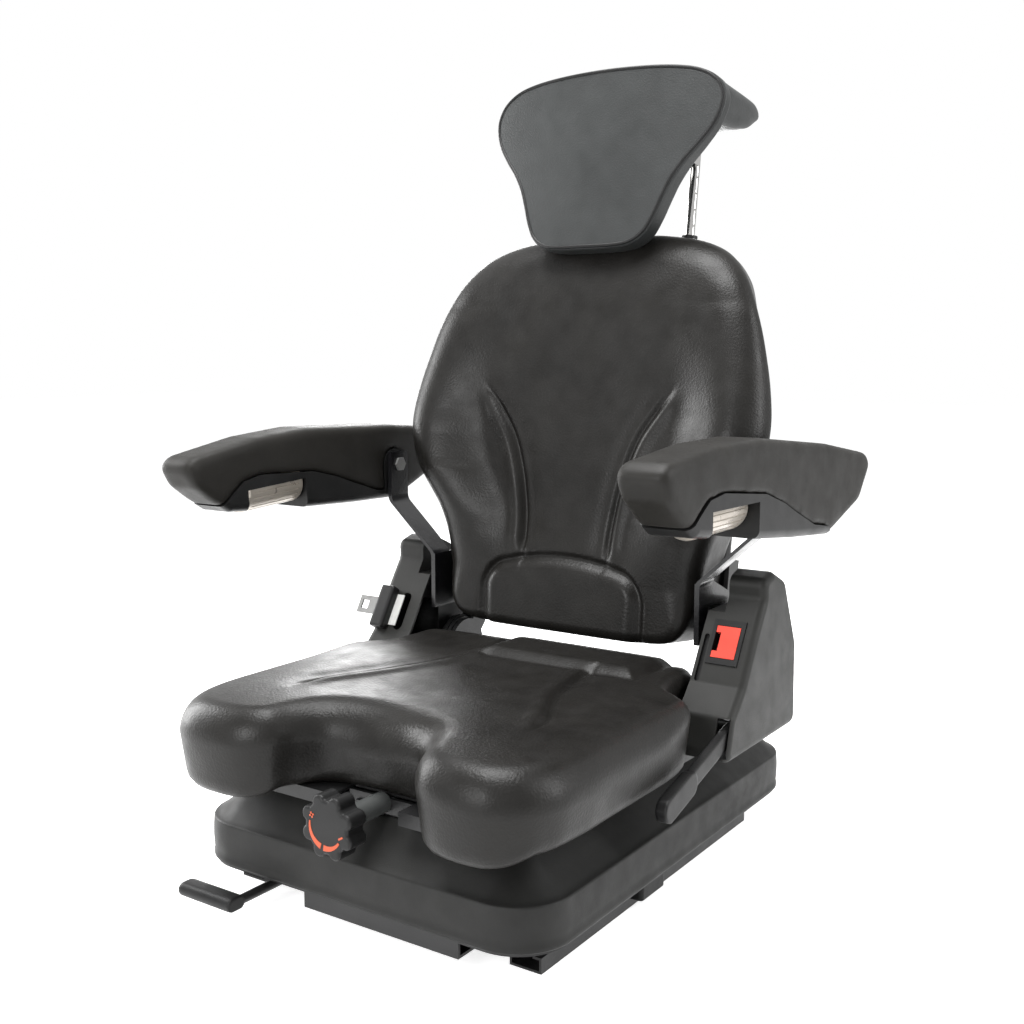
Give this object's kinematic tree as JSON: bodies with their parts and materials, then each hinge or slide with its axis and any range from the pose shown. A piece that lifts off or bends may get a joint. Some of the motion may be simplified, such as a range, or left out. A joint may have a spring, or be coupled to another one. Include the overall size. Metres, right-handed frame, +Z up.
{
  "type": "tractor seat",
  "caption": "Padded suspension seat with headrest, folding armrests, reclining back, lap belt anchors, weight knob, fore-aft rails and a scissor suspension inside a rubber boot",
  "frame": {"origin": "centre of the four floor bolt holes, on the underside of the two lower rails", "axes": "+Z up, -Y the way the sitter faces, +X the sitter's left"},
  "size_m": [0.6752, 0.7093, 0.9205],
  "materials": {
    "grey_paint": "satin black",
    "bright_steel": "zinc plated",
    "glide_plastic": "self-lubricating",
    "stop_rubber": "moulded",
    "black_plastic": "satin",
    "boot_rubber": "moulded",
    "vinyl_back": "coated fabric, fine grain",
    "collar_plastic": "satin grey",
    "cover_plastic": "fine texture",
    "webbing": "plain weave",
    "black_paint": "gloss black",
    "chrome_rod": "polished",
    "vinyl_head": "coated fabric, fine grain",
    "arm_foam": "skinned foam",
    "silver_plastic": "satin, silver grey",
    "red_plastic": "gloss"
  },
  "bodies": {
    "floor_rails": {"lower_rail_left": "grey_paint", "lower_rail_right": "grey_paint"},
    "carriage": {"upper_rail_left": "bright_steel", "upper_rail_right": "bright_steel", "slide_glides": "glide_plastic", "base_pan": "grey_paint", "bump_stops": "stop_rubber", "rail_latch_cover": "black_plastic", "suspension_boot": "boot_rubber", "lower_pivot_shaft": "bright_steel"},
    "slide_handle": {"slide_release_bar": "grey_paint", "slide_handle_grip": "black_plastic"},
    "seat_frame": {"upper_frame": "grey_paint", "upper_pivot_shaft": "bright_steel", "seat_pan": "grey_paint", "seat_cushion": "vinyl_back", "knob_bracket": "grey_paint", "spindle_collar": "collar_plastic", "recliner_bases": "grey_paint", "recliner_pins": "bright_steel", "recliner_caps": "black_plastic", "side_cover_left": "cover_plastic", "side_cover_right": "cover_plastic", "buckle_housing": "black_plastic", "belt_retractor": "black_plastic", "belt_webbing": "webbing", "belt_tongue": "bright_steel", "tongue_grip": "black_plastic"},
    "outer_arms": {"outer_scissor_arms": "grey_paint", "scissor_pivot_pins": "bright_steel"},
    "inner_arms": {"inner_scissor_arms": "grey_paint"},
    "upper_roller_pair": {"upper_rollers": "glide_plastic"},
    "lower_roller_pair": {"lower_rollers": "glide_plastic"},
    "spring_pull": {"spring_yoke": "bright_steel", "suspension_springs": "bright_steel"},
    "weight_adjuster": {"weight_knob": "black_plastic", "knob_spindle": "bright_steel"},
    "damper_lower": {"damper_tube": "black_paint"},
    "damper_upper": {"damper_rod": "chrome_rod"},
    "backrest": {"recliner_arm_left": "grey_paint", "recliner_arm_right": "grey_paint", "backrest_cushion": "vinyl_back", "backrest_pan": "grey_paint", "backrest_frame": "grey_paint", "backrest_shell": "black_plastic", "headrest_guides": "black_plastic", "arm_bracket_left": "black_paint", "arm_bracket_right": "black_paint", "armrest_pivot_bolts": "bright_steel"},
    "headrest": {"headrest_frame": "chrome_rod", "headrest_cushion": "vinyl_head", "headrest_flap": "vinyl_head"},
    "armrest_left": {"armrest_pad_left": "arm_foam", "armrest_insert_left": "black_plastic"},
    "armrest_right": {"armrest_pad_right": "arm_foam", "armrest_insert_right": "black_plastic"},
    "wheel_left": {"armrest_wheel_left": "silver_plastic"},
    "wheel_right": {"armrest_wheel_right": "silver_plastic"},
    "recline_handle": {"recline_lever": "black_plastic"},
    "buckle_press": {"buckle_button": "red_plastic"}
  },
  "joints": [
    {"name": "fore_aft", "type": "slide", "parent": "floor_rails", "child": "carriage", "axis": [0, 1, 0], "range_m": [-0.075, 0.075]},
    {"name": "slide_release", "type": "hinge", "parent": "carriage", "child": "slide_handle", "pos_m": [-0.118, 0, 0.022], "axis": [0, 1, 0], "range_deg": [0, 12], "stiffness_Nm_per_rad": 1.2, "springref_deg": -14.32},
    {"name": "suspension", "type": "slide", "parent": "carriage", "child": "seat_frame", "axis": [0, 0, 1], "range_m": [-0.04, 0], "stiffness_N_per_m": 7000, "springref_m": 0.075, "deforming": ["suspension_boot"]},
    {"name": "outer_arm_swing", "type": "hinge", "parent": "carriage", "child": "outer_arms", "pos_m": [0, 0.165, 0.0453], "axis": [1, 0, 0], "range_deg": [0, 6.9]},
    {"name": "inner_arm_swing", "type": "hinge", "parent": "seat_frame", "child": "inner_arms", "pos_m": [0, 0.165, 0.1087], "axis": [1, 0, 0], "range_deg": [-6.9, 0]},
    {"name": "upper_roller_turn", "type": "hinge", "parent": "outer_arms", "child": "upper_roller_pair", "pos_m": [0, -0.16904, 0.1087], "axis": [1, 0, 0], "range_deg": [-40.5, 0]},
    {"name": "lower_roller_turn", "type": "hinge", "parent": "inner_arms", "child": "lower_roller_pair", "pos_m": [0, -0.16904, 0.0453], "axis": [1, 0, 0], "range_deg": [0, 40.5]},
    {"name": "weight_adjust", "type": "hinge", "parent": "seat_frame", "child": "weight_adjuster", "pos_m": [0.01, 0, 0.13], "axis": [0, 1, 0], "range_deg": [0, 1802]},
    {"name": "spring_draw", "type": "slide", "parent": "seat_frame", "child": "spring_pull", "axis": [0, 1, 0], "range_m": [0, 0.01]},
    {"name": "damper_tube_swing", "type": "hinge", "parent": "carriage", "child": "damper_lower", "pos_m": [-0.095, -0.12, 0.049], "axis": [1, 0, 0], "range_deg": [-9.8, 0]},
    {"name": "damper_rod_swing", "type": "hinge", "parent": "seat_frame", "child": "damper_upper", "pos_m": [-0.095, 0.11, 0.105], "axis": [1, 0, 0], "range_deg": [-9.8, 0]},
    {"name": "recline", "type": "hinge", "parent": "seat_frame", "child": "backrest", "pos_m": [0, 0.16, 0.185], "axis": [1, 0, 0], "range_deg": [-20, 5]},
    {"name": "recline_release", "type": "hinge", "parent": "seat_frame", "child": "recline_handle", "pos_m": [0.254, 0.052, 0.17], "axis": [1, 0, 0], "range_deg": [-20, 0], "stiffness_Nm_per_rad": 1.5, "springref_deg": 17.19},
    {"name": "headrest_height", "type": "slide", "parent": "backrest", "child": "headrest", "axis": [0, 0.1392, 0.9903], "range_m": [0, 0.06]},
    {"name": "armrest_left_fold", "type": "hinge", "parent": "backrest", "child": "armrest_left", "pos_m": [0.262, 0.115, 0.43], "axis": [1, 0, 0], "range_deg": [-95, 0]},
    {"name": "armrest_right_fold", "type": "hinge", "parent": "backrest", "child": "armrest_right", "pos_m": [-0.262, 0.115, 0.43], "axis": [1, 0, 0], "range_deg": [-95, 0]},
    {"name": "wheel_left_turn", "type": "hinge", "parent": "armrest_left", "child": "wheel_left", "pos_m": [0.292, -0.102, 0.432], "axis": [0, 1, 0], "range_deg": [-360, 360]},
    {"name": "wheel_right_turn", "type": "hinge", "parent": "armrest_right", "child": "wheel_right", "pos_m": [-0.292, -0.10161, 0.41686], "axis": [0, 0.9976, 0.0698], "range_deg": [-360, 360]},
    {"name": "buckle_push", "type": "slide", "parent": "seat_frame", "child": "buckle_press", "axis": [0, 0.8559, -0.5171], "range_m": [0, 0.004], "stiffness_N_per_m": 900, "springref_m": -0.003}
  ],
  "couplings": [
    {"joint": "outer_arm_swing", "follows": "suspension", "rad_per_m": -2.9673},
    {"joint": "inner_arm_swing", "follows": "suspension", "rad_per_m": 2.9673},
    {"joint": "upper_roller_turn", "follows": "suspension", "rad_per_m": 17.293},
    {"joint": "lower_roller_turn", "follows": "suspension", "rad_per_m": -17.293},
    {"joint": "damper_tube_swing", "follows": "suspension", "rad_per_m": 4.2344},
    {"joint": "damper_rod_swing", "follows": "suspension", "rad_per_m": 4.2344},
    {"joint": "weight_adjust", "follows": "spring_draw", "rad_per_m": 3141.6}
  ]
}
